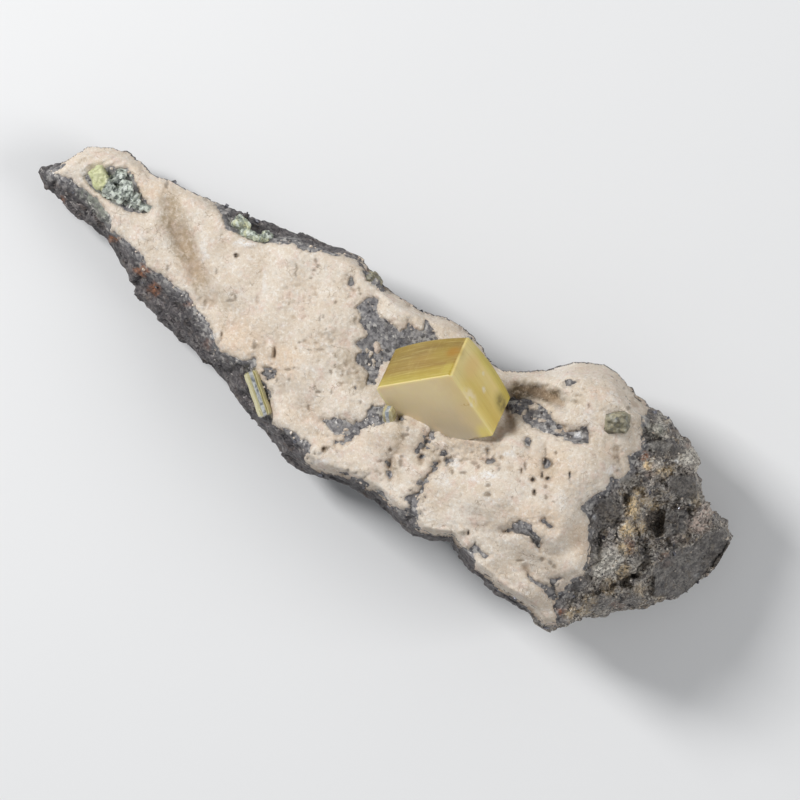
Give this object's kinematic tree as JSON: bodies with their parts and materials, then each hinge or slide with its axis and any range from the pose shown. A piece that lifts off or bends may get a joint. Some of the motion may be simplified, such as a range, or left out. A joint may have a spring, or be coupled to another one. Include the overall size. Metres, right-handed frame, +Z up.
{
  "type": "wulfenite mineral specimen",
  "caption": "Long wedge of dark rock with a pale drusy crust on one face and a square honey-yellow tablet crystal standing out of it.",
  "frame": {"origin": "middle of the flat back that the stone lies on", "axes": "+X along the stone from its thin end to its thick broken end, +Y across it to the rim behind the large crystal, +Z up out of the crusted face"},
  "size_m": [0.0719, 0.0237, 0.0213],
  "materials": {
    "rock": "dark, rough broken rock with small bright cleavage faces",
    "crust": "matt, finely grained and pitted",
    "wulfenite": "satin to waxy, slightly see-through, with thin growth bands",
    "green_crystal": "greasy, slightly see-through"
  },
  "bodies": {
    "root": {"matrix_rock": "rock", "crust": "crust", "large_crystal": "wulfenite", "edge_crystal": "wulfenite", "small_crystal": "wulfenite", "green_crystals_left": "green_crystal", "green_crystals_rim": "green_crystal", "green_knob": "green_crystal", "rim_knob": "green_crystal"}
  },
  "joints": []
}
